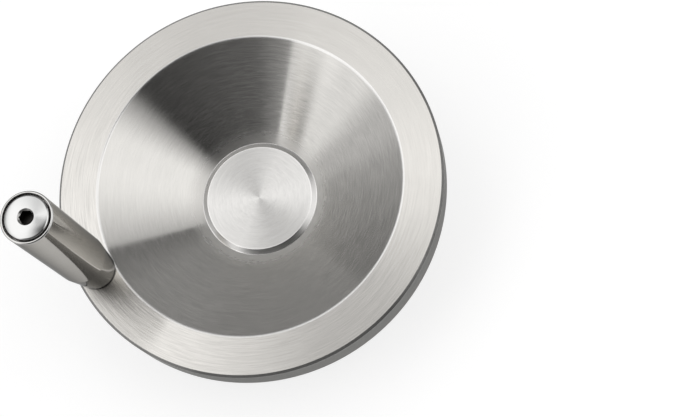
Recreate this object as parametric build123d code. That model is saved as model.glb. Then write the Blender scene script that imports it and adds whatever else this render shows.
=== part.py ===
from build123d import *
import os
from math import cos, radians, tan

# Dished machine handwheel with a revolving cylinder handle, all in stainless steel.
# Frame: +Z is the wheel's axis and points to its front. The origin is the middle of the
# shaft bore, in the rear face of the hub, where the wheel seats on the machine. The handle
# stands on the rim on the +X side. Lengths are in millimetres, angles in degrees.

# ---- wheel: rim and dish ----------------------------------------------------
wheel_diameter = 200.0       # over the rim
wheel_height = 56.0          # rear face of the hub to front face of the rim
rim_width = 17.0             # thickness of the rim along the axis
rim_land = 20.6              # radial width of the flat ring on the front of the rim
dish_angle = 31.2            # slope of the dish, from the plane of the wheel
web_thickness = 7.5          # wall of the dish, square to its surface
rim_front_bevel = 1.2        # outer front edge of the rim
rim_back_bevel = 1.2         # outer back edge of the rim
dish_edge_bevel = 0.4        # edge between the flat ring and the dish

# ---- wheel: hub and shaft bore ------------------------------------------------
boss_diameter = 56.0         # flat face of the front boss in the middle of the dish
boss_side_width = 2.7        # sloping side of the boss: how far it spreads below the face
boss_side_height = 1.35      # the same side, from the dish to the face
boss_root_round = 1.2        # hollow round the foot of the boss
boss_edge_bevel = 0.2        # edge of the face of the boss
hub_diameter = 54.0          # rear hub behind the dish
hub_root_round = 5.0         # hollow between the rear hub and the dish
hub_edge_bevel = 1.0         # outer edge of the rear face
bore_diameter = 20.0         # shaft bore, reamed
boss_wall = 7.0              # the bore is blind: the wall that closes it in front
bore_mouth_bevel = 0.5       # inner edge of the rear face

# ---- revolving grip -----------------------------------------------------------
handle_inset = 11.0          # outer edge of the rim to axis of the handle
handle_height = 102.0        # front face of the rim to outer end of the grip
grip_diameter = 25.0
grip_foot_diameter = 20.0    # lower end of the tapered foot
grip_foot_length = 25.5      # length of the tapered foot, from the front of the rim
grip_foot_bevel = 0.3        # outer edge of the lower end
grip_lip_bevel = 0.7         # outer edge of the open end
grip_mouth_bevel = 0.2       # inner edge of the open end
counterbore_diameter = 22.7  # recess in the open end, for the head of the axle
counterbore_depth = 9.0

# ---- axle of the grip ---------------------------------------------------------
shank_diameter = 14.0        # the grip turns on this
shank_clearance = 0.05       # radial running clearance between shank and grip
end_play = 0.3               # clearance at each end of the grip, along the handle
head_diameter = 21.2
head_stand_out = 0.3         # edge of the head above the open end of the grip
head_crown = 0.9             # rise of the domed top above the edge of the head
head_edge_bevel = 0.5        # outer edge of the dome
head_hexagon = 6.0           # hexagon socket, across flats
head_hexagon_depth = 6.5     # below the top of the dome
head_countersink = 8.2       # diameter of the countersink, at the top of the dome
stud_diameter = 10.0         # threaded stud, over its crests
stud_length = 15.0
stud_relief_width = 2.0      # undercut between thread and shank
stud_relief_depth = 0.9
stud_point_bevel = 1.0       # lower end of the stud
shank_edge_bevel = 0.3       # edge of the shoulder that seats on the rim

# ---- set screw that clamps the shaft --------------------------------------------
set_screw_diameter = 8.0     # over its crests
set_screw_length = 16.0
set_screw_angle = 180.0      # round the axis of the wheel, counted from the handle
set_screw_height = 6.5       # above the rear face of the hub
set_screw_setback = 0.4      # tip of the screw behind the wall of the bore
set_screw_hexagon = 4.0      # hexagon socket, across flats
set_screw_hexagon_depth = 4.0
set_screw_edge_bevel = 0.6   # round the socket
set_screw_point_bevel = 1.2  # round the tip

# ---- tapped holes -----------------------------------------------------------------
thread_play = 0.1            # radial play between the crests of a thread and its hole
hole_bevel = 0.7             # at the mouth of a tapped hole

# ---- edges --------------------------------------------------------------------------
edge_share = 0.95            # the most of a straight edge that one round or bevel may take

# ---- sizes that follow ------------------------------------------------------------
rim_radius = wheel_diameter / 2
dish_radius = rim_radius - rim_land
rim_back = wheel_height - rim_width
handle_circle_radius = rim_radius - handle_inset
dish_slope = tan(radians(dish_angle))
web_rise = web_thickness / cos(radians(dish_angle))
boss_radius = boss_diameter / 2
boss_root_radius = boss_radius + boss_side_width
hub_radius = hub_diameter / 2
bore_radius = bore_diameter / 2
boss_face = wheel_height - (dish_radius - boss_root_radius) * dish_slope + boss_side_height
bore_floor_height = boss_face - boss_wall
grip_radius = grip_diameter / 2
grip_start = wheel_height + end_play
grip_end = wheel_height + handle_height
counterbore_floor = grip_end - counterbore_depth
shank_radius = shank_diameter / 2
grip_bore_radius = shank_radius + shank_clearance
head_underside = counterbore_floor + end_play
head_edge = grip_end + head_stand_out
head_top = head_edge + head_crown
stud_radius = stud_diameter / 2
set_screw_radius = set_screw_diameter / 2
set_screw_tip = bore_radius + set_screw_setback


def dish_front(radius):
    """Height of the front surface of the dish at a radius."""
    return wheel_height - (dish_radius - radius) * dish_slope


def dish_back(radius):
    """Height of the back surface of the dish at a radius."""
    return dish_front(radius) - web_rise


def outline(points):
    """The area inside straight lines, with the radius along X and the height along Y."""
    return make_face(Polyline(*points, close=True))


def nearest_vertex(section, corner):
    """The vertex of a section that lies nearest to a corner."""
    return section.vertices().sort_by_distance(Vector(*corner))[0]


def edges_at(section, vertex):
    """The two edges of a section that meet in a vertex."""
    return [edge for edge in section.edges() if vertex in edge.vertices()]


def room_for_round(section, vertex):
    """The largest radius that the two edges at a vertex leave room for."""
    sides = edges_at(section, vertex)
    far_ends = [end for side in sides for end in side.vertices() if end != vertex]
    directions = [Vector(end) - Vector(vertex) for end in far_ends]
    half_angle = radians(directions[0].get_angle(directions[1])) / 2
    return edge_share * min(side.length for side in sides) * tan(half_angle)


def rounded(section, corner, radius):
    """The section with one corner rounded, as far as its edges allow."""
    vertex = nearest_vertex(section, corner)
    return fillet(vertex, min(radius, room_for_round(section, vertex)))


def bevelled(section, corner, length):
    """The section with one corner cut off at 45 degrees, as far as its edges allow."""
    vertex = nearest_vertex(section, corner)
    room = edge_share * min(edge.length for edge in edges_at(section, vertex))
    return chamfer(vertex, min(length, room))


def turned(section):
    """The solid that a section makes when it turns about the axis of height."""
    return revolve(Plane.XZ * section, Axis.Z)


def drill(radius, length):
    """A round cutter that starts at the origin and runs along +Z."""
    return extrude(Circle(radius), amount=length)


def mouth_cutter(radius):
    """The cone that bevels the mouth of a hole, with the mouth in the XY plane."""
    return Cone(radius, radius + 2 * hole_bevel, 2 * hole_bevel)


def hexagon_cutter(across_flats, depth):
    """A hexagon prism that hangs down from the XY plane, with flats square to X."""
    hexagon = RegularPolygon(across_flats / 2, 6, major_radius=False, rotation=30)
    return extrude(hexagon, amount=-depth)


def wheel_section():
    """Half section of the wheel: hub, dished web and rim in one."""
    bore_mouth = (bore_radius, 0)
    hub_edge = (hub_radius, 0)
    hub_root = (hub_radius, dish_back(hub_radius))
    rim_root = (dish_radius - (dish_back(dish_radius) - rim_back) / dish_slope, rim_back)
    rim_back_edge = (rim_radius, rim_back)
    rim_front_edge = (rim_radius, wheel_height)
    dish_edge = (dish_radius, wheel_height)
    boss_root = (boss_root_radius, dish_front(boss_root_radius))
    boss_edge = (boss_radius, boss_face)
    bore_floor = (bore_radius, bore_floor_height)
    section = outline([
        bore_mouth, hub_edge, hub_root, rim_root, rim_back_edge, rim_front_edge,
        dish_edge, boss_root, boss_edge, (0, boss_face), (0, bore_floor_height), bore_floor,
    ])
    section = bevelled(section, bore_mouth, bore_mouth_bevel)
    section = bevelled(section, hub_edge, hub_edge_bevel)
    section = rounded(section, hub_root, hub_root_round)
    section = bevelled(section, rim_back_edge, rim_back_bevel)
    section = bevelled(section, rim_front_edge, rim_front_bevel)
    section = bevelled(section, dish_edge, dish_edge_bevel)
    section = rounded(section, boss_root, boss_root_round)
    return bevelled(section, boss_edge, boss_edge_bevel)


def handle_hole():
    """Cutter for the tapped hole that goes through the rim under the handle."""
    radius = stud_radius + thread_play
    hole = Pos(0, 0, rim_back) * drill(radius, rim_width)
    hole += Pos(0, 0, wheel_height) * mouth_cutter(radius)
    hole += Pos(0, 0, rim_back) * Rot(180, 0, 0) * mouth_cutter(radius)
    return Pos(handle_circle_radius, 0, 0) * hole


def across_the_hub(solid):
    """Turn a solid from standing on the Z axis to lying along the set screw's hole."""
    return Rot(0, 0, set_screw_angle) * Pos(0, 0, set_screw_height) * Rot(0, 90, 0) * solid


def set_screw_hole():
    """Cutter for the tapped hole from the side of the hub into the shaft bore."""
    radius = set_screw_radius + thread_play
    hole = drill(radius, hub_radius)
    hole += Pos(0, 0, hub_radius) * mouth_cutter(radius)
    return across_the_hub(hole)


def wheel():
    """The wheel, turned from one blank, with its two tapped holes."""
    return turned(wheel_section()) - handle_hole() - set_screw_hole()


def grip_sleeve():
    """The revolving grip: a bored cylinder with a tapered foot and a counterbored end."""
    bore_foot = (grip_bore_radius, grip_start)
    foot = (grip_foot_diameter / 2, grip_start)
    shoulder = (grip_radius, wheel_height + grip_foot_length)
    lip = (grip_radius, grip_end)
    mouth = (counterbore_diameter / 2, grip_end)
    floor_edge = (counterbore_diameter / 2, counterbore_floor)
    bore_top = (grip_bore_radius, counterbore_floor)
    section = outline([bore_foot, foot, shoulder, lip, mouth, floor_edge, bore_top])
    section = bevelled(section, foot, grip_foot_bevel)
    section = bevelled(section, lip, grip_lip_bevel)
    section = bevelled(section, mouth, grip_mouth_bevel)
    return Pos(handle_circle_radius, 0, 0) * turned(section)


def countersink_section():
    """Half section of the cone, bevelled at 45 degrees, that opens the socket in the head."""
    tip = head_top - head_countersink / 2
    brim = head_top + head_countersink / 2
    return outline([(0, tip), (head_countersink, brim), (0, brim)])


def axle_section():
    """Half section of the axle: stud, undercut, shank and domed, countersunk head."""
    head_radius = head_diameter / 2
    relief_radius = stud_radius - stud_relief_depth
    relief_end = wheel_height - stud_relief_width
    point = (stud_radius, wheel_height - stud_length)
    shoulder = (shank_radius, wheel_height)
    head_rim = (head_radius, head_edge)
    side = Polyline((0, head_top), (0, point[1]), point, (stud_radius, relief_end),
                    (relief_radius, relief_end), (relief_radius, wheel_height), shoulder,
                    (shank_radius, head_underside), (head_radius, head_underside), head_rim)
    dome = TangentArc((0, head_top), head_rim, tangent=(1, 0))
    section = make_face([*side.edges(), dome])
    section = bevelled(section, point, stud_point_bevel)
    section = bevelled(section, shoulder, shank_edge_bevel)
    section = bevelled(section, head_rim, head_edge_bevel)
    return section - countersink_section()


def handle_axle():
    """The axle: screwed into the rim with its shoulder on the rim's front face."""
    socket = Pos(0, 0, head_top) * hexagon_cutter(head_hexagon, head_hexagon_depth)
    return Pos(handle_circle_radius, 0, 0) * (turned(axle_section()) - socket)


def hub_set_screw():
    """The set screw, with its socket outwards and its tip just clear of the shaft bore."""
    socket_end = (set_screw_radius, set_screw_length)
    point = (set_screw_radius, 0)
    section = outline([(0, 0), point, socket_end, (0, set_screw_length)])
    section = bevelled(section, socket_end, set_screw_edge_bevel)
    section = bevelled(section, point, set_screw_point_bevel)
    socket = hexagon_cutter(set_screw_hexagon, set_screw_hexagon_depth)
    screw = turned(section) - Pos(0, 0, set_screw_length) * socket
    return across_the_hub(Pos(0, 0, set_screw_tip) * screw)


pieces = {
    "wheel": wheel,
    "grip_sleeve": grip_sleeve,
    "handle_axle": handle_axle,
    "hub_set_screw": hub_set_screw,
}

os.makedirs("parts", exist_ok=True)
for node, make_piece in pieces.items():
    export_step(make_piece(), os.path.join("parts", node + ".step"))
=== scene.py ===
import logging
import math
from dataclasses import dataclass, field
from enum import Enum
from typing import Sequence

import bmesh
import bpy
import numpy as np
from mathutils import Matrix, Vector


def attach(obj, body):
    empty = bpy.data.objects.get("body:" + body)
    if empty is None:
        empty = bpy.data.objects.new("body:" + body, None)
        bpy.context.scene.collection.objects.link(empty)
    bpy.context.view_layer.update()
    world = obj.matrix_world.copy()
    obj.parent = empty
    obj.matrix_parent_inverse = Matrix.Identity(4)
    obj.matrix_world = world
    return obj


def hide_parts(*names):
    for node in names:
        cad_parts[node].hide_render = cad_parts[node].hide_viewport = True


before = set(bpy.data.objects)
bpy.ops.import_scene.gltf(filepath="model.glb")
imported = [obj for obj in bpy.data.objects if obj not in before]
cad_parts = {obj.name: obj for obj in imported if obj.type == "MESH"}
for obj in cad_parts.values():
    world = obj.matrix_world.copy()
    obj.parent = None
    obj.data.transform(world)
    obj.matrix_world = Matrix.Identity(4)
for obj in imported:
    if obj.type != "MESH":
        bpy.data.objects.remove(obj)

# A dished machine handwheel with a revolving handle, all in stainless steel. Each piece is a class
# that holds its sizes in millimetres and builds its own mesh, and each finish builds its own
# material. The meshes are in metres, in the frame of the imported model: +Z is the wheel's axis, and
# the handle stands at +X.

log = logging.getLogger("handwheel")

Pair = tuple[float, float]
Triple = tuple[float, float, float]
Socket = bpy.types.NodeSocket
Value = Socket | float | tuple[float, ...]

MM = 0.001
X_AXIS = (1.0, 0.0, 0.0)
Y_AXIS = (0.0, 1.0, 0.0)
Z_AXIS = (0.0, 0.0, 1.0)
FULL_TURN = 2 * math.pi
ARC_STEP = math.radians(9.0)      # turn of a round between two rows of its mesh
ARC_STEPS = 3                     # fewest steps of a round
SUPPORT = 0.05                    # mm from the end of a round to the row that keeps its flats flat
POLE = 1e-9                       # mm from the axis within which a row is a single point
SHARP_ANGLE = math.radians(28.0)  # edges that turn more than this are shaded sharp
WINDOW_ROWS = 10                  # plain rows across the window that a hole opens in
MOUTH_RINGS = (0.7, 0.35, 0.0)    # rings round a hole, as shares of the way out to its window
PITCH_ROWS = 16                   # rows of a thread to each pitch
SEAM = -90.0                      # degrees from the handle to the first column of the wheel
NOISE_DETAIL = 2.0                # octaves of every noise
NOISE_RANGE = (0.2, 0.8)          # values of a noise between which its effect changes
RING_ROUGHNESS = 0.6              # weight of each octave against the one before, in the rings
PATCH_ROUGHNESS = 0.5             # the same in the patches
PATCH_RATE = 0.06                 # changes of the patches for each millimetre
GROOVE_DEPTH = 0.02               # mm of the bump of the rings
SQUARE_TO_TANGENT = 0.25          # turn of the spread of reflections, as a share of a full turn


class Region(Enum):
    """The stretches of surface with finishes of their own: most were worked in different ways, and some
    carry painted shade or a painted highlight.
    """

    BOSS_FACE = 0
    BOSS_EDGE = 1
    BOSS_SIDE = 2
    DISH = 3
    DISH_EDGE = 4
    RIM_FACE = 5
    RIM_EDGE = 6
    RIM_WALL = 7
    REAR = 8
    BORE = 9
    THREAD = 10
    GRIP = 11
    GRIP_LIP = 12
    GRIP_INSIDE = 13
    AXLE_HEAD = 14
    AXLE_SINK = 15
    AXLE_SOCKET = 16
    AXLE_SHANK = 17
    SCREW = 18
    BOSS_STEP = 19
    GRIP_FOOT_PAINTED_SHADOW = 20


Finishes = dict[Region, bpy.types.Material]


# ---- frames and profiles ---------------------------------------------------------------------


def about(centre: float, reach: float) -> Pair:
    """The two values at a reach below and above a centre."""
    return centre - reach, centre + reach


@dataclass(frozen=True)
class Place:
    """Where a turned piece stands: a point on its axis, in mm, and its three directions."""

    origin: Triple = (0.0, 0.0, 0.0)
    across: Triple = X_AXIS
    aside: Triple = Y_AXIS
    along: Triple = Z_AXIS

    def to_frame(self, points: np.ndarray) -> np.ndarray:
        """Carry points in mm to the shared frame: the origin, plus each coordinate along its direction."""
        return np.array(self.origin) + points @ self.directions()

    def to_local(self, points: np.ndarray) -> np.ndarray:
        """Carry points in mm from the shared frame into the piece's own axes."""
        return (points - np.array(self.origin)) @ self.directions().T

    def directions(self) -> np.ndarray:
        """The three directions, one in each row."""
        return np.array([self.across, self.aside, self.along])


@dataclass(frozen=True)
class Corner:
    """A corner of a turned profile, in mm, with the region of the stretch that starts there.

    A corner with a round has its own region for it, or that of the stretch if it names none.
    """

    radius: float
    height: float
    region: Region
    round: float = 0.0
    round_region: Region | None = None


@dataclass(frozen=True)
class Trace:
    """A profile as rows: their radii and heights in mm, and the region from each row to the next."""

    radius: np.ndarray
    height: np.ndarray
    region: np.ndarray


def round_rows(before: np.ndarray, corner: np.ndarray, after: np.ndarray, size: float) -> np.ndarray:
    """Rows of a round that touches the two straight stretches at a corner.

    Formula: the centre lies on the line that halves the corner, at the round's radius from both
    stretches. The rows turn about it in even steps from one touching point to the other, and
    one more row on each side holds the straight stretch flat.

    Args:
        before: the corner before this one, as radius and height.
        corner: the corner that is rounded.
        after: the corner that follows.
        size: radius of the round, in mm.

    Returns:
        The rows, as pairs of radius and height.
    """
    to_before = (before - corner) / np.linalg.norm(before - corner)
    to_after = (after - corner) / np.linalg.norm(after - corner)
    half = math.acos(float(np.clip(to_before @ to_after, -1.0, 1.0))) / 2
    reach = size / math.tan(half)
    middle = to_before + to_after
    centre = corner + middle / np.linalg.norm(middle) * size / math.sin(half)
    start = corner + to_before * reach - centre
    end = corner + to_after * reach - centre
    turn = math.pi - 2 * half
    way = math.copysign(turn, start[0] * end[1] - start[1] * end[0])
    angle = np.linspace(0.0, way, max(ARC_STEPS, math.ceil(turn / ARC_STEP)) + 1)
    arc = np.outer(np.cos(angle), start) + np.outer(np.sin(angle), (-start[1], start[0]))
    ends = corner + np.stack([to_before, to_after]) * (reach + SUPPORT)
    return np.vstack([ends[:1], centre + arc, ends[1:]])


def trace(corners: Sequence[Corner], closed: bool = False) -> Trace:
    """Work out the rows of a profile from its corners.

    Args:
        corners: the corners in order, with the material always on the same side.
        closed: whether the last corner joins the first one.

    Returns:
        The rows of the profile.
    """
    spots = np.array([[corner.radius, corner.height] for corner in corners])
    rows: list[np.ndarray] = []
    regions: list[int] = []
    for i, corner in enumerate(corners):
        part = spots[i:i + 1]
        if corner.round > 0 and (closed or 0 < i < len(corners) - 1):
            part = round_rows(spots[i - 1], spots[i], spots[(i + 1) % len(corners)], corner.round)
        rounded = corner.round_region or corner.region
        regions += [rounded.value] * (len(part) - 1) + [corner.region.value]
        rows.append(part)
    radius, height = np.vstack(rows).T
    return Trace(radius, height, np.array(regions))


def even_angles(columns: int, start: float = 0.0) -> np.ndarray:
    """Angles of the columns of a turned surface: one full turn in even steps, in radians."""
    return start + np.arange(columns) * FULL_TURN / columns


def turned_points(radius: np.ndarray, height: np.ndarray, angle: np.ndarray) -> np.ndarray:
    """Points of a surface of revolution.

    Formula: radius times the cosine and the sine of the angle, and the height.

    Args:
        radius: one radius for each row, or for each row and column.
        height: one height for each row, or for each row and column.
        angle: the angle of each column.

    Returns:
        An array of rows by columns by three.
    """
    shape = (len(radius), len(angle))
    radius = np.broadcast_to(radius.reshape(len(radius), -1), shape)
    height = np.broadcast_to(height.reshape(len(height), -1), shape)
    return np.stack([radius * np.cos(angle), radius * np.sin(angle), height], axis=2)


# ---- meshes ----------------------------------------------------------------------------------


@dataclass
class Surface:
    """A mesh that grows from grids of points in the axes of a place, with a region for each face."""

    place: Place = Place()
    points: list[np.ndarray] = field(default_factory=list)
    faces: list[np.ndarray] = field(default_factory=list)
    regions: list[np.ndarray] = field(default_factory=list)
    count: int = 0

    def add_points(self, points: np.ndarray) -> np.ndarray:
        """Add points given in the place's axes, in mm.

        Args:
            points: an array whose last axis has the three coordinates.

        Returns:
            The numbers of the points, in the shape of the array.
        """
        number = int(np.prod(points.shape[:-1]))
        self.points.append(self.place.to_frame(points.reshape(-1, 3)))
        index = self.count + np.arange(number)
        self.count += number
        return index.reshape(points.shape[:-1])

    def add_turned(self, points: np.ndarray) -> np.ndarray:
        """Add the rows of a turned surface, with a single point for each row that lies on the axis.

        Args:
            points: rows by columns by three, in the place's axes, in mm.

        Returns:
            The numbers of the points, rows by columns.
        """
        pole = np.all(np.abs(points[..., :2]) < POLE, axis=(1, 2))
        index = np.zeros(points.shape[:2], int)
        index[~pole] = self.add_points(points[~pole])
        index[pole] = self.add_points(points[pole, 0])[:, None]
        return index

    def spots(self, index: np.ndarray) -> np.ndarray:
        """Points in the shared frame, in mm, from their numbers."""
        return np.vstack(self.points)[index]

    def add_faces(self, faces: np.ndarray, region: np.ndarray | int) -> None:
        """Add faces of three or four point numbers each, with their region."""
        if len(faces):
            self.faces.append(faces)
            self.regions.append(np.broadcast_to(region, len(faces)))

    def add_grid(self, index: np.ndarray, region: np.ndarray | int, keep: np.ndarray | None = None,
                 closed: bool = False) -> None:
        """Add the faces between the rows and columns of a grid that goes right round.

        Args:
            index: point numbers, rows by columns. A row of one repeated number is a pole.
            region: the region of each pair of rows, or one for all.
            keep: which faces to make; all of them if this is None.
            closed: whether the last row joins the first one.
        """
        if closed:
            index = np.vstack([index, index[:1]])
        nearer, further = index[:-1], index[1:]
        quads = np.stack([nearer, np.roll(nearer, -1, 1), np.roll(further, -1, 1), further], axis=2)
        regions = np.broadcast_to(np.reshape(region, (-1, 1)), nearer.shape)
        wanted = np.ones(nearer.shape, bool) if keep is None else keep
        first_pole = (quads[..., 0] == quads[..., 1]) & wanted
        last_pole = (quads[..., 2] == quads[..., 3]) & wanted
        plain = wanted & ~first_pole & ~last_pole
        self.add_faces(quads[plain], regions[plain])
        self.add_faces(quads[first_pole][:, [0, 2, 3]], regions[first_pole])
        self.add_faces(quads[last_pole][:, [0, 1, 2]], regions[last_pole])

    def stitch(self, ring: np.ndarray, ring_angle: np.ndarray, other: np.ndarray,
               other_angle: np.ndarray, region: Region) -> None:
        """Join two rings that may have different numbers of points by a strip of triangles.

        Formula: the points of both rings are taken in the order of their angles, and each one
        makes a triangle with the point before it on its own ring and the last one on the other.

        Args:
            ring: point numbers of one ring.
            ring_angle: the angle of each of its points, in rising order within one turn.
            other: point numbers of the other ring.
            other_angle: the angles of its points, likewise.
            region: the region of the strip.
        """
        order = np.argsort(np.concatenate([ring_angle, other_angle]), kind="stable")
        own = order < len(ring)
        here = np.cumsum(own) - 1
        there = np.cumsum(~own) - 1
        new = np.where(own, ring[here], other[there])
        old = np.where(own, ring[here - 1], other[there - 1])
        across = np.where(own, other[there], ring[here])
        self.add_faces(np.stack([old, new, across], axis=1), region.value)

    def make(self, name: str, finishes: Finishes) -> bpy.types.Object:
        """Turn the collected grids into an object with smooth faces and its finishes.

        Args:
            name: the object's name.
            finishes: the material of each region that the mesh has.

        Returns:
            The new object, at the origin of the shared frame.
        """
        corners = np.concatenate([part.ravel() for part in self.faces])
        used, renumbered = np.unique(corners, return_inverse=True)
        ends = np.cumsum([part.size for part in self.faces])[:-1]
        faces: list[list[int]] = []
        for flat, part in zip(np.split(renumbered, ends), self.faces):
            faces += flat.reshape(part.shape).tolist()
        mesh = bpy.data.meshes.new(name)
        mesh.from_pydata((self.spots(used) * MM).tolist(), [], faces)
        turn_outwards(mesh)
        regions = np.concatenate(self.regions)
        slot_of = np.zeros(len(Region), np.int32)
        for region in Region:
            if np.any(regions == region.value):
                slot_of[region.value] = len(mesh.materials)
                mesh.materials.append(finishes[region])
        mesh.polygons.foreach_set("material_index", slot_of[regions])
        mesh.polygons.foreach_set("use_smooth", np.ones(len(mesh.polygons), bool))
        mesh.set_sharp_from_angle(angle=SHARP_ANGLE)
        mesh.update()
        made = bpy.data.objects.new(name, mesh)
        bpy.context.scene.collection.objects.link(made)
        return made


def turn_outwards(mesh: bpy.types.Mesh) -> None:
    """Make every face of a closed mesh point outwards.

    Args:
        mesh: the mesh, which is changed in place.
    """
    shell = bmesh.new()
    shell.from_mesh(mesh)
    bmesh.ops.recalc_face_normals(shell, faces=shell.faces)
    shell.to_mesh(mesh)
    shell.free()


@dataclass
class Rows:
    """The rows of a turned piece, from pole to pole, with the angles of their columns."""

    angle: np.ndarray
    radius: list[np.ndarray] = field(default_factory=list)
    height: list[np.ndarray] = field(default_factory=list)
    region: list[np.ndarray] = field(default_factory=list)

    def add(self, radius: np.ndarray | float, height: np.ndarray | float,
            region: Region | np.ndarray) -> None:
        """Add rows whose radius, height or both may change from column to column.

        Args:
            radius: one number, one for each row, or rows by columns, in mm.
            height: the same for the height.
            region: the region of the strips that start at these rows, or its number for each row.
        """
        grids = [np.asarray(size, float) for size in (radius, height)]
        grids = [grid if grid.ndim == 2 else grid.reshape(-1, 1) for grid in grids]
        count = max(len(grid) for grid in grids)
        for rows, grid in zip((self.radius, self.height), grids):
            rows.append(np.broadcast_to(grid, (count, len(self.angle))))
        self.region.append(np.full(count, region.value if isinstance(region, Region) else region))

    def follow(self, corners: Sequence[Corner]) -> None:
        """Add the rows of a profile that is given by its corners."""
        path = trace(corners)
        self.add(path.radius, path.height, path.region)

    def close_on(self, surface: Surface) -> None:
        """Put all the rows into a mesh, as one grid from pole to pole."""
        points = turned_points(np.vstack(self.radius), np.vstack(self.height), self.angle)
        surface.add_grid(surface.add_turned(points), np.concatenate(self.region)[:-1])


# ---- threads, sockets and tapped holes -------------------------------------------------------


class ThreadForm(Enum):
    """The section of a thread, in shares of its pitch: its depth, and its outer and inner flats."""

    SCREW = (0.6134, 0.125, 0.25)
    HOLE = (0.57, 0.3, 0.1)


@dataclass(frozen=True)
class Thread:
    """A screw thread: its outer radius, its pitch, and where along the axis it fades out, in mm."""

    outer: float
    pitch: float
    start: float
    end: float
    form: ThreadForm = ThreadForm.SCREW
    fade: float = 1.0

    def radius(self, along: np.ndarray, angle: np.ndarray) -> np.ndarray:
        """Radius of the thread's surface.

        Formula: the place along the axis in pitches, less the share of the turn, runs from crest
        to crest. Between the flats of crest and root the radius falls in a straight line by the
        depth, and near both ends the depth fades to nothing.

        Args:
            along: place along the axis, one for each row, in mm.
            angle: angle of each column.

        Returns:
            The radius for each row and column.
        """
        depth, outer_flat, inner_flat = self.form.value
        phase = np.mod(along[:, None] / self.pitch - angle[None, :] / FULL_TURN, 1.0)
        from_crest = 1.0 - np.abs(2 * phase - 1.0)
        slope = 1.0 - outer_flat - inner_flat
        groove = np.clip((from_crest - outer_flat) / slope, 0.0, 1.0)
        room = np.minimum(along - self.start, self.end - along)
        return self.outer - depth * self.pitch * groove * np.clip(room / self.fade, 0.0, 1.0)[:, None]

    def places(self, first: float, last: float) -> np.ndarray:
        """Places along the axis for the rows of the thread's mesh."""
        return np.linspace(first, last, max(2, round(abs(last - first) / self.pitch * PITCH_ROWS)))

    def cut(self, rows: Rows, first: float, last: float, region: Region) -> None:
        """Add the thread to the rows of a turned piece, from one place along the axis to another."""
        along = self.places(first, last)
        rows.add(self.radius(along, rows.angle), along, region)


def hexagon_radius(across_flats: float, angle: np.ndarray) -> np.ndarray:
    """Distance from a hexagon's centre to its side, with two of its sides square to angle 0.

    Formula: half the width across flats, divided by the cosine of the angle to the nearest
    side's own direction.

    Args:
        across_flats: the hexagon's width, in mm.
        angle: angle of each column.

    Returns:
        The distance for each column, as a single row.
    """
    sixth = FULL_TURN / 6
    to_side = np.mod(angle + sixth / 2, sixth) - sixth / 2
    return (across_flats / 2 / np.cos(to_side))[None, :]


@dataclass(frozen=True)
class Window:
    """A block of faces that is left out of a turned grid, so that a hole can take its place."""

    first_row: int
    last_row: int
    first_column: int
    last_column: int

    def cut(self, keep: np.ndarray) -> None:
        """Mark the faces of the window as not to be made."""
        keep[self.first_row:self.last_row, self.first_column:self.last_column] = False

    def border(self, index: np.ndarray) -> np.ndarray:
        """Find the points round the window.

        Args:
            index: point numbers of the turned grid.

        Returns:
            Their numbers, in order round it.
        """
        near = index[self.first_row, self.first_column:self.last_column]
        right = index[self.first_row:self.last_row, self.last_column]
        far = index[self.last_row, self.last_column:self.first_column:-1]
        left = index[self.last_row:self.first_row:-1, self.first_column]
        return np.concatenate([near, right, far, left])


@dataclass(frozen=True)
class HoleEnd:
    """One end of a hole: the radius of its mouth, and the straight stretch that it opens in.

    The stretch of the profile goes from one spot to another, each a radius and a height in mm.
    The hole's direction is in degrees from the handle.
    """

    first: Pair
    last: Pair
    mouth: float
    direction: float
    region: Region

    @property
    def curved(self) -> bool:
        """Whether the stretch stands upright, and so makes a round surface."""
        return self.first[0] == self.last[0]

    @property
    def level(self) -> float:
        """Radius of the round surface, or height of the flat one."""
        return self.first[0] if self.curved else self.first[1]

    def corners(self) -> list[Corner]:
        """Plain rows across the stretch, in even steps."""
        radii, heights = (np.linspace(*ends, WINDOW_ROWS) for ends in zip(self.first, self.last))
        return [Corner(radius, height, self.region) for radius, height in zip(radii, heights)]

    def window(self, rows: Trace, columns: int) -> Window:
        """Window of the turned grid round the hole.

        Formula: its rows are the ones nearest to the ends of the stretch. It is as wide as they
        are apart: the sine of half its angle is half that length over the smaller radius.

        Args:
            rows: the rows of the profile.
            columns: how many columns the grid has.

        Returns:
            The window, in rows and columns.
        """
        spots = (self.first, self.last)
        ends = [int(np.argmin(np.hypot(rows.radius - spot[0], rows.height - spot[1]))) for spot in spots]
        middle = round((self.direction - SEAM) * columns / 360.0)
        half_angle = math.asin(math.dist(*spots) / 2 / min(self.first[0], self.last[0]))
        half = math.ceil(half_angle * columns / FULL_TURN)
        return Window(*ends, middle - half, middle + half)

    def seat(self, points: np.ndarray) -> np.ndarray:
        """Lay points on the surface that the hole meets.

        Formula: on a flat surface the place along the hole's axis is the surface's level. On a
        round one it is the side of a right triangle whose longest side is the surface's radius.

        Args:
            points: coordinates across and aside of the hole's axis, in the last axis, in mm.

        Returns:
            The same points with their place along the axis as a third coordinate.
        """
        along = np.full(points.shape[:-1], self.level)
        if self.curved:
            along = np.sqrt(self.level ** 2 - points[..., 0] ** 2)
        return np.concatenate([points, along[..., None]], axis=-1)


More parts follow.
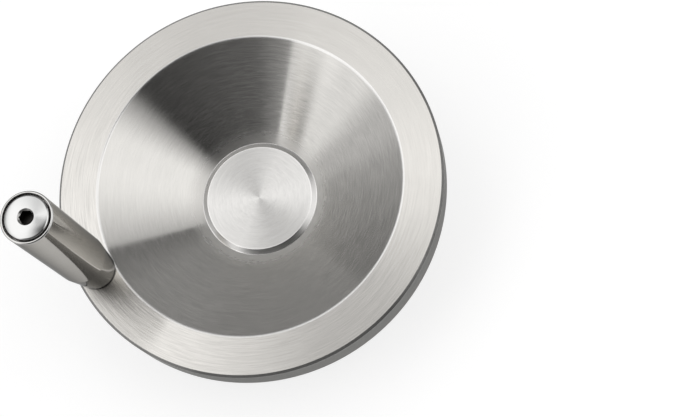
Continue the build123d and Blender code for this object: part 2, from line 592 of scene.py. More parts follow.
@dataclass(frozen=True)
class TappedHole:
    """A tapped hole from one face of a turned piece, which its axis points out of, to another."""

    place: Place
    thread: Thread
    bevel: float
    near: HoleEnd
    far: HoleEnd
    columns: int = 96

    def open_end(self, surface: Surface, index: np.ndarray, rows: Trace, end: HoleEnd) -> np.ndarray:
        """Fill a window with rings that lead from its border to the mouth of the hole.

        Formula: in each direction from the hole's axis the rings share out the way from the
        mouth's circle to the window's border, and all their points lie on the same surface.

        Args:
            surface: the mesh of the turned piece.
            index: point numbers of the turned grid.
            rows: the rows of the turned piece's profile.
            end: the end of the hole.

        Returns:
            Numbers of the rings' points, from the border inwards.
        """
        angle = even_angles(self.columns)
        border = end.window(rows, index.shape[1]).border(index)
        flat = self.place.to_local(surface.spots(border))[:, :2]
        border_angle = np.mod(np.arctan2(flat[:, 1], flat[:, 0]), FULL_TURN)
        order = np.argsort(border_angle)
        border, border_angle = border[order], border_angle[order]
        reach = np.interp(angle, border_angle, np.hypot(*flat[order].T), period=FULL_TURN)
        radius = end.mouth + np.array(MOUTH_RINGS)[:, None] * (reach - end.mouth)
        rings = np.stack([radius * np.cos(angle), radius * np.sin(angle)], axis=-1)
        numbers = surface.add_points(self.place.to_frame(end.seat(rings)))
        surface.stitch(border, border_angle, numbers[0], angle, end.region)
        return numbers

    def make(self, surface: Surface, index: np.ndarray, rows: Trace) -> None:
        """Add the hole to a mesh: both mouths, their bevels and the threaded wall between them.

        Formula: the wall starts one bevel below the near face and ends one above the far face,
        or two above it where the far mouth is no wider than the thread and so has no bevel.

        Args:
            surface: the mesh of the turned piece.
            index: point numbers of the turned grid.
            rows: the rows of the turned piece's profile.
        """
        bevels = 1 if self.far.mouth > self.thread.outer else 2
        along = self.thread.places(self.near.level - self.bevel, self.far.level + bevels * self.bevel)
        angle = even_angles(self.columns)
        wall = turned_points(self.thread.radius(along, angle), along, angle)
        start = self.open_end(surface, index, rows, self.near)
        middle = surface.add_points(self.place.to_frame(wall))
        end = self.open_end(surface, index, rows, self.far)
        regions = np.full(len(start) + len(middle) + len(end) - 1, Region.THREAD.value)
        regions[:len(start) - 1] = self.near.region.value
        regions[len(regions) - len(end) + 1:] = self.far.region.value
        surface.add_grid(np.vstack([start, middle, end[::-1]]), regions)


# ---- the wheel -------------------------------------------------------------------------------


@dataclass(frozen=True)
class Wheel:
    """The wheel: rim, dished web, front boss and rear hub, turned from one blank."""

    diameter: float = 200.0
    height: float = 56.0
    rim_width: float = 17.0
    rim_land: float = 20.6
    dish_angle: float = 31.2
    web_thickness: float = 7.5
    rim_front_bevel: float = 1.2
    rim_front_round: float = 0.2
    rim_back_round: float = 1.1
    rim_root_round: float = 2.0
    dish_edge_round: float = 2.6
    boss_diameter: float = 56.0
    boss_side_width: float = 2.7
    boss_side_height: float = 1.35
    boss_root_round: float = 0.15
    boss_root_step: Pair = (0.5, 0.09)
    boss_edge_round: float = 0.5
    # width of the face's outer strip that carries the edge's painted highlight
    boss_edge_strip: float = 0.45
    hub_diameter: float = 54.0
    hub_root_round: float = 5.0
    hub_edge_bevel: float = 1.0
    bore_diameter: float = 20.0
    bore_bevel: float = 0.5
    boss_wall: float = 7.0
    handle_inset: float = 11.0
    stud_diameter: float = 10.0
    stud_pitch: float = 1.5
    set_screw_diameter: float = 8.0
    set_screw_pitch: float = 1.25
    set_screw_height: float = 6.5
    thread_play: float = 0.1
    hole_bevel: float = 0.7
    rim_margin: float = 1.2
    hub_margin: float = 0.3
    bore_margin: float = 0.6
    columns: int = 360

    @property
    def radius(self) -> float:
        """Outer radius of the rim."""
        return self.diameter / 2

    @property
    def back(self) -> float:
        """Height of the back of the rim."""
        return self.height - self.rim_width

    @property
    def dish_radius(self) -> float:
        """Radius of the edge between the flat ring of the rim and the dish."""
        return self.radius - self.rim_land

    @property
    def slope(self) -> float:
        """Rise of the dish for each millimetre outwards."""
        return math.tan(math.radians(self.dish_angle))

    @property
    def boss_root(self) -> float:
        """Radius where the sloping side of the boss meets the dish."""
        return self.boss_diameter / 2 + self.boss_side_width

    @property
    def boss_face(self) -> float:
        """Height of the face of the boss."""
        return self.dish_front(self.boss_root) + self.boss_side_height

    @property
    def handle_place(self) -> Place:
        """The handle's axis, which stands on the rim."""
        return Place((self.radius - self.handle_inset, 0.0, 0.0))

    @property
    def screw_place(self) -> Place:
        """The set screw's axis, which points out of the side of the hub opposite the handle."""
        return Place((0.0, 0.0, self.set_screw_height), (0.0, -1.0, 0.0), Z_AXIS, (-1.0, 0.0, 0.0))

    def dish_front(self, radius: float) -> float:
        """Height of the front of the dish at a radius."""
        return self.height - (self.dish_radius - radius) * self.slope

    def dish_back(self, radius: float) -> float:
        """Height of the back of the dish at a radius."""
        return self.dish_front(radius) - self.web_thickness / math.cos(math.radians(self.dish_angle))

    def holes(self) -> tuple[TappedHole, TappedHole]:
        """The tapped holes, through the rim for the handle's stud and through the hub for the set screw.

        Formula: each stretch reaches past its hole's mouth on both sides by a margin.

        Returns:
            The stud's hole and the set screw's.
        """
        hub, bore, level = self.hub_diameter / 2, self.bore_diameter / 2, self.set_screw_height
        stud = self.stud_diameter / 2 + self.thread_play
        screw = self.set_screw_diameter / 2 + self.thread_play
        stud_mouth, screw_mouth = stud + self.hole_bevel, screw + self.hole_bevel
        near, far = about(self.handle_place.origin[0], stud_mouth + self.rim_margin)
        low, high = about(level, screw_mouth + self.hub_margin)
        bore_low, bore_high = about(level, screw + self.bore_margin)
        return (
            TappedHole(
                self.handle_place, Thread(stud, self.stud_pitch, self.back, self.height, ThreadForm.HOLE),
                self.hole_bevel,
                HoleEnd((near, self.height), (far, self.height), stud_mouth, 0.0, Region.RIM_FACE),
                HoleEnd((far, self.back), (near, self.back), stud_mouth, 0.0, Region.REAR),
            ),
            TappedHole(
                self.screw_place, Thread(screw, self.set_screw_pitch, bore, hub, ThreadForm.HOLE),
                self.hole_bevel,
                HoleEnd((hub, high), (hub, low), screw_mouth, 180.0, Region.REAR),
                HoleEnd((bore, bore_low), (bore, bore_high), screw, 180.0, Region.BORE),
            ),
        )

    def profile(self) -> list[Corner]:
        """The wheel's section.

        Returns:
            Its corners, from the axis over the front and the back to the floor of the bore.
        """
        boss, hub, bore = self.boss_diameter / 2, self.hub_diameter / 2, self.bore_diameter / 2
        bevel, floor = self.rim_front_bevel, self.boss_face - self.boss_wall
        root = self.dish_radius - (self.dish_back(self.dish_radius) - self.back) / self.slope
        boss_foot = self.dish_front(self.boss_root)
        step, rise = self.boss_root_step
        stud, screw = self.holes()
        return [
            Corner(0.0, self.boss_face, Region.BOSS_FACE),
            Corner(boss - self.boss_edge_strip, self.boss_face, Region.BOSS_EDGE),
            Corner(boss, self.boss_face, Region.BOSS_SIDE, self.boss_edge_round, Region.BOSS_EDGE),
            Corner(self.boss_root - step, boss_foot + rise, Region.BOSS_STEP),
            Corner(self.boss_root, boss_foot, Region.DISH, self.boss_root_round),
            Corner(self.dish_radius, self.height, Region.RIM_FACE, self.dish_edge_round, Region.DISH_EDGE),
            *stud.near.corners(),
            Corner(self.radius - bevel, self.height, Region.RIM_EDGE, self.rim_front_round),
            Corner(self.radius, self.height - bevel, Region.RIM_WALL, self.rim_front_round),
            Corner(self.radius, self.back, Region.REAR, self.rim_back_round, Region.RIM_WALL),
            *stud.far.corners(),
            Corner(root, self.back, Region.REAR, self.rim_root_round),
            Corner(hub, self.dish_back(hub), Region.REAR, self.hub_root_round),
            *screw.near.corners(),
            Corner(hub, self.hub_edge_bevel, Region.REAR),
            Corner(hub - self.hub_edge_bevel, 0.0, Region.REAR),
            Corner(bore + self.bore_bevel, 0.0, Region.BORE),
            Corner(bore, self.bore_bevel, Region.BORE),
            *screw.far.corners(),
            Corner(bore, floor, Region.BORE),
            Corner(0.0, floor, Region.BORE),
        ]

    def make(self, finishes: Finishes) -> bpy.types.Object:
        """Build the wheel's mesh: one turned grid, with windows for its two tapped holes.

        Args:
            finishes: the material of each region.

        Returns:
            The wheel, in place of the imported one.
        """
        surface = Surface()
        rows = trace(self.profile())
        angle = even_angles(self.columns, math.radians(SEAM))
        index = surface.add_turned(turned_points(rows.radius, rows.height, angle))
        holes = self.holes()
        keep = np.ones((len(rows.radius) - 1, self.columns), bool)
        for hole in holes:
            hole.near.window(rows, self.columns).cut(keep)
            hole.far.window(rows, self.columns).cut(keep)
        surface.add_grid(index, rows.region[:-1], keep)
        for hole in holes:
            hole.make(surface, index, rows)
        piece = surface.make("turned_wheel", finishes)
        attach(piece, "wheel")
        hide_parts("wheel")
        return piece


# ---- the handle and the set screw ------------------------------------------------------------


@dataclass(frozen=True)
class GripSleeve:
    """The revolving grip: a bored cylinder with a tapered foot and a counterbored open end."""

    place: Place
    start: float = 56.3
    end: float = 158.0
    diameter: float = 25.0
    foot_diameter: float = 20.0
    foot_top: float = 81.5
    foot_round: float = 0.3
    # height of the dark band at the foot, a painted shadow of the seam between grip and rim
    seam_shadow_height: float = 0.9
    shoulder_round: float = 8.0
    lip_round: float = 0.7
    mouth_round: float = 0.3
    counterbore_diameter: float = 22.7
    counterbore_depth: float = 9.0
    bore_diameter: float = 14.1
    columns: int = 192

    def profile(self) -> list[Corner]:
        """The sleeve's section.

        Returns:
            Its corners, from the lower end over the outside and back through the bore.
        """
        radius, foot = self.diameter / 2, self.foot_diameter / 2
        bore, recess = self.bore_diameter / 2, self.counterbore_diameter / 2
        floor = self.end - self.counterbore_depth
        taper = (self.diameter - self.foot_diameter) / 2 / (self.foot_top - self.start)
        return [
            Corner(bore, self.start, Region.GRIP_INSIDE),
            Corner(foot, self.start, Region.GRIP_FOOT_PAINTED_SHADOW, self.foot_round),
            Corner(foot + taper * self.seam_shadow_height, self.start + self.seam_shadow_height, Region.GRIP),
            Corner(radius, self.foot_top, Region.GRIP, self.shoulder_round),
            Corner(radius, self.end, Region.GRIP_LIP, self.lip_round),
            Corner(recess, self.end, Region.GRIP_INSIDE, self.mouth_round, Region.GRIP_LIP),
            Corner(recess, floor, Region.GRIP_INSIDE),
            Corner(bore, floor, Region.GRIP_INSIDE),
        ]

    def make(self, finishes: Finishes) -> bpy.types.Object:
        """Build the sleeve as one closed turned wall.

        Args:
            finishes: the material of each region.

        Returns:
            The sleeve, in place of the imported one.
        """
        surface = Surface(self.place)
        rows = trace(self.profile(), closed=True)
        index = surface.add_turned(turned_points(rows.radius, rows.height, even_angles(self.columns)))
        surface.add_grid(index, rows.region, closed=True)
        piece = surface.make("revolving_grip", finishes)
        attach(piece, "grip")
        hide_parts("grip_sleeve")
        return piece


@dataclass(frozen=True)
class HandleAxle:
    """The headed axle that the grip turns on, screwed into the rim with its threaded stud."""

    place: Place
    rim_front: float = 56.0
    top: float = 159.2
    crown: float = 1.05
    head_diameter: float = 21.2
    head_round: float = 1.1
    underside: float = 149.3
    hexagon: float = 6.0
    hexagon_depth: float = 6.5
    countersink: float = 8.2
    sink_start: float = 0.6     # radius of the countersink's first row, over the hexagon's width
    brim_inset: float = 0.13    # mm by which the fall of the dome draws the countersink's brim in
    brim_round: float = 0.12
    dome_start: float = 0.5     # mm from the brim to the dome's first row
    dome_end: float = 0.4       # mm from the dome's last row to the round of the head's edge
    dome_rows: int = 12
    shank_diameter: float = 14.0
    shoulder_round: float = 0.3
    stud_diameter: float = 10.0
    stud_pitch: float = 1.5
    stud_length: float = 15.0
    relief_width: float = 2.0
    relief_depth: float = 0.9
    point_bevel: float = 1.0
    columns: int = 144

    @property
    def dome_radius(self) -> float:
        """Radius of the dome's sphere: half the crown, and half the head's radius squared over crown."""
        return ((self.head_diameter / 2) ** 2 / self.crown + self.crown) / 2

    def dome(self, radius: np.ndarray | float) -> np.ndarray:
        """Height of the dome at a radius: the sphere's height there."""
        return self.top - self.dome_radius + np.sqrt(self.dome_radius ** 2 - radius ** 2)

    def cone(self, radius: np.ndarray | float) -> np.ndarray | float:
        """Height of the countersink at a radius: it rises by one millimetre for each one outwards."""
        return self.top + radius - self.countersink / 2

    def make(self, finishes: Finishes) -> bpy.types.Object:
        """Build the axle from the floor of its socket over the head and the shank to its point.

        Formula: the socket's rows have the radius of a hexagon, and its upper row lies where the
        hexagon meets the cone of the countersink. All other rows are circles.

        Args:
            finishes: the material of each region.

        Returns:
            The axle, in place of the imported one.
        """
        surface = Surface(self.place)
        rows = Rows(even_angles(self.columns))
        wall = hexagon_radius(self.hexagon, rows.angle)
        head, shank, stud = self.head_diameter / 2, self.shank_diameter / 2, self.stud_diameter / 2
        sink, brim = self.hexagon * self.sink_start, self.countersink / 2 - self.brim_inset
        dome = np.linspace(brim + self.dome_start, head - self.head_round - self.dome_end, self.dome_rows)
        dome_edge = dome[-1] + SUPPORT
        relief, relief_end = stud - self.relief_depth, self.rim_front - self.relief_width
        floor, tip = self.top - self.hexagon_depth, self.rim_front - self.stud_length
        rows.add(0.0, floor, Region.AXLE_SOCKET)
        rows.add(wall, floor, Region.AXLE_SOCKET)
        rows.add(wall, self.cone(wall), Region.AXLE_SINK)
        rows.follow([
            Corner(sink, self.cone(sink), Region.AXLE_SINK),
            Corner(brim, self.dome(brim), Region.AXLE_HEAD, self.brim_round),
            Corner(dome[0], self.dome(dome[0]), Region.AXLE_HEAD),
        ])
        rows.add(dome[1:], self.dome(dome[1:]), Region.AXLE_HEAD)
        rows.follow([
            Corner(dome_edge, self.dome(dome_edge), Region.AXLE_HEAD),
            Corner(head, self.top - self.crown, Region.AXLE_HEAD, self.head_round),
            Corner(head, self.underside, Region.AXLE_SHANK),
            Corner(shank, self.underside, Region.AXLE_SHANK),
            Corner(shank, self.rim_front, Region.AXLE_SHANK, self.shoulder_round),
            Corner(relief, self.rim_front, Region.AXLE_SHANK),
            Corner(relief, relief_end, Region.THREAD),
        ])
        thread = Thread(stud, self.stud_pitch, tip + self.point_bevel / 2, relief_end)
        thread.cut(rows, relief_end, tip + self.point_bevel, Region.THREAD)
        rows.follow([
            Corner(stud - self.point_bevel, tip, Region.THREAD),
            Corner(0.0, tip, Region.THREAD),
        ])
        rows.close_on(surface)
        piece = surface.make("headed_axle", finishes)
        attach(piece, "wheel")
        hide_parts("handle_axle")
        return piece


@dataclass(frozen=True)
class HubSetScrew:
    """The set screw that clamps the shaft, with its socket outwards, in the side of the rear hub."""

    place: Place
    diameter: float = 8.0
    pitch: float = 1.25
    tip: float = 10.4
    length: float = 16.0
    hexagon: float = 4.0
    hexagon_depth: float = 4.0
    edge_bevel: float = 0.6
    point_bevel: float = 1.2
    run_out: float = 0.3
    columns: int = 96

    def make(self, finishes: Finishes) -> bpy.types.Object:
        """Build the screw along its own axis, from its tip to the floor of its socket.

        Args:
            finishes: the material of each region.

        Returns:
            The screw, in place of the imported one.
        """
        surface = Surface(self.place)
        rows = Rows(even_angles(self.columns))
        radius, end = self.diameter / 2, self.tip + self.length
        wall, floor = hexagon_radius(self.hexagon, rows.angle), end - self.hexagon_depth
        first, last = self.tip + self.point_bevel, end - self.edge_bevel
        rows.add(0.0, self.tip, Region.SCREW)
        rows.add(radius - self.point_bevel, self.tip, Region.SCREW)
        thread = Thread(radius, self.pitch, first - self.run_out, last + self.run_out)
        thread.cut(rows, first, last, Region.SCREW)
        for edge, height in ((radius - self.edge_bevel, end), (wall, end), (wall, floor), (0.0, floor)):
            rows.add(edge, height, Region.SCREW)
        rows.close_on(surface)
        piece = surface.make("set_screw", finishes)
        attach(piece, "wheel")
        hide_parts("hub_set_screw")
        return piece


# ---- finishes --------------------------------------------------------------------------------


class Ramp(Enum):
    """How a number goes from one level to another: evenly, or with soft ends."""

    EVEN = "LINEAR"
    SMOOTH = "SMOOTHSTEP"


class Graph:
    """A node tree, with short ways to add the sums, steps and textures of a finish."""

    def __init__(self, tree: bpy.types.NodeTree) -> None:
        """Start on an emptied tree."""
        self.tree = tree
        tree.nodes.clear()

    def add(self, kind: str, inputs: dict[str | int, Value] | None = None,
            **settings: object) -> bpy.types.Node:
        """Add a node.

        Args:
            kind: the node's type.
            inputs: what to link to each input or set it to, by the input's name or number.
            **settings: the node's plain settings.

        Returns:
            The node.
        """
        node = self.tree.nodes.new(kind)
        for name, value in settings.items():
            setattr(node, name, value)
        for key, value in (inputs or {}).items():
            if isinstance(value, Socket):
                self.tree.links.new(value, node.inputs[key])
            else:
                node.inputs[key].default_value = value
        return node

    def finish(self, kind: str, inputs: dict[str | int, Value], output: str) -> None:
        """Add the tree's last shader, and link it to an output node."""
        self.add(output, {"Surface": self.add(kind, inputs).outputs[0]})

    def maths(self, operation: str, first: Value, second: Value = 0.0) -> Socket:
        """The result of a sum on one or two numbers."""
        return self.add("ShaderNodeMath", {0: first, 1: second}, operation=operation).outputs[0]

    def vector(self, operation: str, first: Value, second: Value = (0.0, 0.0, 0.0)) -> Socket:
        """The result of a sum on one or two vectors.

        Args:
            operation: the sum.
            first: the first vector.
            second: the second vector, or the number that scales the first one.

        Returns:
            A number from DOT_PRODUCT and LENGTH, and a vector from all others.
        """
        inputs = {0: first, "Scale" if operation == "SCALE" else 1: second}
        node = self.add("ShaderNodeVectorMath", inputs, operation=operation)
        return node.outputs["Value" if operation in ("DOT_PRODUCT", "LENGTH") else "Vector"]

    def dot(self, first: Value, second: Value) -> Socket:
        """Dot product of two vectors."""
        return self.vector("DOT_PRODUCT", first, second)

    def join(self, x: Value, y: Value, z: Value) -> Socket:
        """A vector from its three coordinates."""
        return self.add("ShaderNodeCombineXYZ", {0: x, 1: y, 2: z}).outputs[0]

    def ramp(self, value: Value, bounds: Pair, levels: Pair = (0.0, 1.0),
             kind: Ramp = Ramp.EVEN) -> Socket:
        """A number that changes from one level to another between two bounds, and stays there outside."""
        inputs = dict(enumerate((value, *bounds, *levels)))
        return self.add("ShaderNodeMapRange", inputs, interpolation_type=kind.value, clamp=True).outputs[0]

    def mix(self, share: Value, first: Value, second: Value) -> Socket:
        """A number between two others, by a share from 0 to 1."""
        return self.add("ShaderNodeMix", {0: share, 2: first, 3: second}, data_type="FLOAT").outputs[0]

    def noise(self, vector: Value, scale: float, roughness: float) -> Socket:
        """Smooth noise of about 0.5, from a vector."""
        inputs = {"Vector": vector, "Scale": scale, "Detail": NOISE_DETAIL, "Roughness": roughness}
        return self.add("ShaderNodeTexNoise", inputs).outputs[0]


class Rings(Enum):
    """How far each millimetre from the axis, and each one along it, carries the turning rings on."""

    ON_FACE = (1.0, 0.0)
    ON_WALL = (0.0, 1.0)
    ON_SLOPE = (1.0, 1.0)


@dataclass(frozen=True)
class TurnedSteel:
    """A steel surface with the fine rings that a lathe or a brush leaves round an axis."""

    name: str
    colour: Triple = (0.515, 0.507, 0.495)
    roughness: float = 0.20
    anisotropy: float = 1.0
    rings: Rings = Rings.ON_FACE
    bands: float = 0.8           # changes of the broad bands for each mm across the rings
    band_contrast: float = 0.02
    lines: float = 1.4           # the same of the fine lines
    line_contrast: float = 0.07
    arc_rate: float = 0.9        # changes of the bands for each radian along the rings
    streak_rate: float = 12.0    # the same of the lines
    patches: float = 0.02        # contrast of the patches
    roughness_change: float = 0.03
    groove: float = 0.05         # strength of the lines' depth
    glancing: float = 1.0        # tint of what is mirrored at a glancing angle
    root_roughness: float = 0.0  # added at the root
    root: Pair = (30.0, 42.0)    # radii in mm between which that fades out
    coarse: float = 0.0          # share by which the lines are stronger on the coarse side
    coarse_side: float = 0.0     # its direction, in degrees from the handle

    def material(self, place: Place) -> bpy.types.Material:
        """Make the material round the axis of a place.

        Formula: the rings' coordinate grows with the distance from the axis, the height along it,
        or both. Noise that changes fast with it and slowly round the axis gives broad bands and
        fine lines their brightness, and the lines their roughness and depth. The lines are
        stronger on the coarse side. Patches of plain noise make the brightness a little uneven,
        the surface is rougher towards the root, and reflections spread square to the rings.

        Args:
            place: where the axis is.

        Returns:
            The material.
        """
        made = bpy.data.materials.new(self.name)
        made.use_nodes = True
        graph = Graph(made.node_tree)
        position = graph.add("ShaderNodeTexCoord").outputs["Object"]
        from_axis = graph.vector("SUBTRACT", position, tuple(c * MM for c in place.origin))
        across, aside = graph.dot(from_axis, place.across), graph.dot(from_axis, place.aside)
        flat = graph.join(across, aside, 0.0)
        radius, outward = graph.vector("LENGTH", flat), graph.vector("NORMALIZE", flat)
        by_radius, by_height = (rate / MM for rate in self.rings.value)
        height = graph.maths("MULTIPLY", graph.dot(from_axis, place.along), by_height)
        ring = graph.maths("ADD", graph.maths("MULTIPLY", radius, by_radius), height)
        bands = self.wound_noise(graph, outward, ring, self.bands, self.arc_rate)
        lines = self.wound_noise(graph, outward, ring, self.lines, self.streak_rate)
        patches = graph.noise(position, PATCH_RATE / MM, PATCH_ROUGHNESS)
        tones = [
            graph.ramp(noise, NOISE_RANGE, (-contrast, contrast)) for noise, contrast in
            ((bands, self.band_contrast), (lines, self.line_contrast), (patches, self.patches))
        ]
        if self.coarse:
            tones[1] = graph.maths("MULTIPLY", tones[1], self.coarse_share(graph, outward))
        light: Value = 1.0
        for tone in tones:
            light = graph.maths("ADD", light, tone)
        roughness = graph.ramp(lines, NOISE_RANGE, about(self.roughness, self.roughness_change))
        if self.root_roughness:
            inner, outer = self.root
            rougher = graph.ramp(radius, (inner * MM, outer * MM), (self.root_roughness, 0.0))
            roughness = graph.maths("ADD", roughness, rougher)
        bump = graph.add("ShaderNodeBump", {
            "Distance": GROOVE_DEPTH * MM, "Strength": self.groove, "Height": lines,
        })
        graph.finish("ShaderNodeBsdfPrincipled", {
            "Metallic": 1.0,
            "Anisotropic": self.anisotropy,
            "Anisotropic Rotation": SQUARE_TO_TANGENT,
            "Base Color": graph.vector("SCALE", self.colour, light),
            "Specular Tint": (self.glancing,) * 3 + (1.0,),
            "Roughness": roughness,
            "Tangent": self.round_axis(graph, place, across, aside),
            "Normal": bump.outputs[0],
        }, "ShaderNodeOutputMaterial")
        return made

    def coarse_share(self, graph: Graph, outward: Value) -> Socket:
        """How strong the lines are in each direction: most on the coarse side, least on the other."""
        side = (math.cos(math.radians(self.coarse_side)), math.sin(math.radians(self.coarse_side)), 0.0)
        return graph.ramp(graph.dot(outward, side), (-1.0, 1.0), about(1.0, self.coarse))

    def wound_noise(self, graph: Graph, outward: Value, ring: Value, rate: float,
                    arc_rate: float) -> Socket:
        """Noise in rings.

        Formula: noise of a point that goes round a circle with the direction from the axis, and
        up with the rings' coordinate.

        Args:
            graph: the material's nodes.
            outward: direction away from the axis.
            ring: the rings' coordinate, in mm.
            rate: changes for each millimetre across the rings.
            arc_rate: changes for each radian along them.

        Returns:
            The noise, about 0.5.
        """
        lifted = graph.join(0.0, 0.0, graph.maths("MULTIPLY", ring, rate))
        wound = graph.vector("SCALE", outward, arc_rate)
        return graph.noise(graph.vector("ADD", wound, lifted), 1.0, RING_ROUGHNESS)

    def round_axis(self, graph: Graph, place: Place, across: Value, aside: Value) -> Socket:
        """The direction round the axis, carried into the world's directions.

        Formula: minus the part aside times the direction across, plus the part across times the
        direction aside.

        Args:
            graph: the material's nodes.
            place: where the axis is.
            across: the point's part across.
            aside: the point's part aside.

        Returns:
            The direction.
        """
        first = graph.vector("SCALE", place.across, graph.maths("MULTIPLY", aside, -1.0))
        second = graph.vector("SCALE", place.aside, across)
        turned = graph.vector("NORMALIZE", graph.vector("ADD", first, second))
        carried = graph.add(
            "ShaderNodeVectorTransform", {0: turned}, vector_type="VECTOR", convert_from="OBJECT",
            convert_to="WORLD",
        )
        return carried.outputs[0]


EDGE_PAINTED_HIGHLIGHT = (0.6, 0.592, 0.58)  # lighter than the steel round it: a painted highlight along the rounded edges

WHEEL_FINISHES = {
    Region.BOSS_FACE: TurnedSteel(
        "faced_boss", band_contrast=0.05, arc_rate=1.8, lines=1.6, line_contrast=0.09, streak_rate=5.0,
    ),
    # lighter edge colour: a painted highlight round the boss's edge and its face's outer strip
    Region.BOSS_EDGE: TurnedSteel("boss_edge", EDGE_PAINTED_HIGHLIGHT, roughness=0.15),
    Region.BOSS_SIDE: TurnedSteel(
        "boss_side", (0.54, 0.532, 0.52), 0.29, anisotropy=0.5, rings=Rings.ON_WALL, streak_rate=3.0,
    ),
    # the step's lighter colour is a painted highlight: the bright line round the boss's root
    Region.BOSS_STEP: TurnedSteel("boss_step_painted_highlight", (0.62, 0.612, 0.6), roughness=0.15),
    Region.DISH: TurnedSteel(
        "turned_dish", (0.518, 0.507, 0.487), lines=1.9, line_contrast=0.08, streak_rate=8.0,
        roughness_change=0.035, root_roughness=0.15, root=(31.0, 39.0), coarse=0.4, coarse_side=-161.0,
    ),
    # lighter edge colour: a painted highlight along the dish's edge
    Region.DISH_EDGE: TurnedSteel("dish_edge_painted_highlight", EDGE_PAINTED_HIGHLIGHT, line_contrast=0.03),
    Region.RIM_FACE: TurnedSteel(
        "faced_rim", (0.521, 0.507, 0.484), lines=1.9, line_contrast=0.13, streak_rate=6.0,
        coarse=0.6, coarse_side=19.0,
    ),
    # the bevel's dark colour is a painted dark reflection: it draws the dark line along the rim's outer
    # edge
    Region.RIM_EDGE: TurnedSteel("rim_edge_painted_dark_reflection", (0.26, 0.257, 0.25), rings=Rings.ON_SLOPE),
    Region.RIM_WALL: TurnedSteel(
        "turned_rim_wall", (0.5, 0.495, 0.48), rings=Rings.ON_WALL, glancing=0.4,
    ),
    Region.REAR: TurnedSteel("turned_rear", rings=Rings.ON_SLOPE),
    Region.BORE: TurnedSteel("reamed_bore", rings=Rings.ON_SLOPE),
    Region.THREAD: TurnedSteel("cut_thread", rings=Rings.ON_SLOPE),
}
HANDLE_FINISHES = {
    Region.GRIP: TurnedSteel(
        "polished_grip", (0.8, 0.776, 0.732), 0.09, anisotropy=0.3, rings=Rings.ON_WALL,
        line_contrast=0.03, groove=0.02, roughness_change=0.01, glancing=0.33,
    ),
    Region.GRIP_LIP: TurnedSteel("polished_lip", roughness=0.12, anisotropy=0.3, rings=Rings.ON_SLOPE),
    # near-black band at the grip's foot: painted shadow of the seam against the rim
    Region.GRIP_FOOT_PAINTED_SHADOW: TurnedSteel(
        "grip_foot_painted_seam_shadow", (0.16, 0.156, 0.15), rings=Rings.ON_SLOPE, glancing=0.3,
    ),
    Region.GRIP_INSIDE: TurnedSteel("bored_grip", rings=Rings.ON_SLOPE),
    Region.AXLE_HEAD: TurnedSteel(
        "polished_head", (0.54, 0.54, 0.535), 0.12, anisotropy=0.2, line_contrast=0.02,
        band_contrast=0.01, groove=0.01, roughness_change=0.01,
    ),
    # darker than the head: painted shade in the countersink's recess
    Region.AXLE_SINK: TurnedSteel("countersink", (0.4, 0.395, 0.385), 0.22, anisotropy=0.3),
    # near-black socket walls and floor: painted shade in the hexagon's recess
    Region.AXLE_SOCKET: TurnedSteel(
        "socket_painted_shade", (0.04, 0.038, 0.036), 0.4, anisotropy=0.0, rings=Rings.ON_SLOPE,
    ),
    Region.AXLE_SHANK: TurnedSteel("ground_shank", rings=Rings.ON_WALL),
}
SCREW_FINISHES = {
    Region.SCREW: TurnedSteel("set_screw_steel", rings=Rings.ON_SLOPE),
}


# ---- floor, light and camera -----------------------------------------------------------------


@dataclass(frozen=True)
class Panel:
    """A wedge of the light tent: its two edges round the wheel's axis, its level, and how soft each is.

    Edges and softness are in degrees, and an edge is as soft as that on each side of it.
    """

    start: float
    end: float
    level: float
    start_soft: float
    end_soft: float


@dataclass(frozen=True)
class Tier:
    """A storey of the light tent: panels over an even ground, from one tilt outwards.

    The tilt is that of the slope that mirrors the tier, in degrees from the wheel's axis, and its
    edge is soft by some degrees on each side.
    """

    tilt: float
    soft: float
    ground: float
    panels: tuple[Panel, ...]

    def passed(self, graph: Graph, tilt: Value) -> Value:
        """Share that rises from 0 to 1 where a tilt in radians passes this tier's edge."""
        low, high = about(self.tilt, self.soft)
        return graph.ramp(tilt, (math.radians(low), math.radians(high)), kind=Ramp.SMOOTH)

    def spread(self, graph: Graph, round_about: Value) -> Value:
        """Level of the tier in each direction.

        Formula: a panel covers the directions that lie between its two edges. Across each edge
        its share rises as a smooth step in the sine of the angle from the edge. Each panel lies
        over the ones before it.

        Args:
            graph: the world's nodes.
            round_about: direction round the wheel's axis.

        Returns:
            The level in each direction.
        """
        level: Value = self.ground
        for panel in self.panels:
            shares = []
            edges = ((panel.start, panel.start_soft, 1.0), (panel.end, panel.end_soft, -1.0))
            for angle, soft, way in edges:
                turn = math.radians(angle)
                edge = graph.dot(round_about, (-way * math.sin(turn), way * math.cos(turn), 0.0))
                bounds = about(0.0, math.sin(math.radians(soft)))
                shares.append(graph.ramp(edge, bounds, kind=Ramp.SMOOTH))
            level = graph.mix(graph.maths("MULTIPLY", *shares), level, panel.level)
        return level


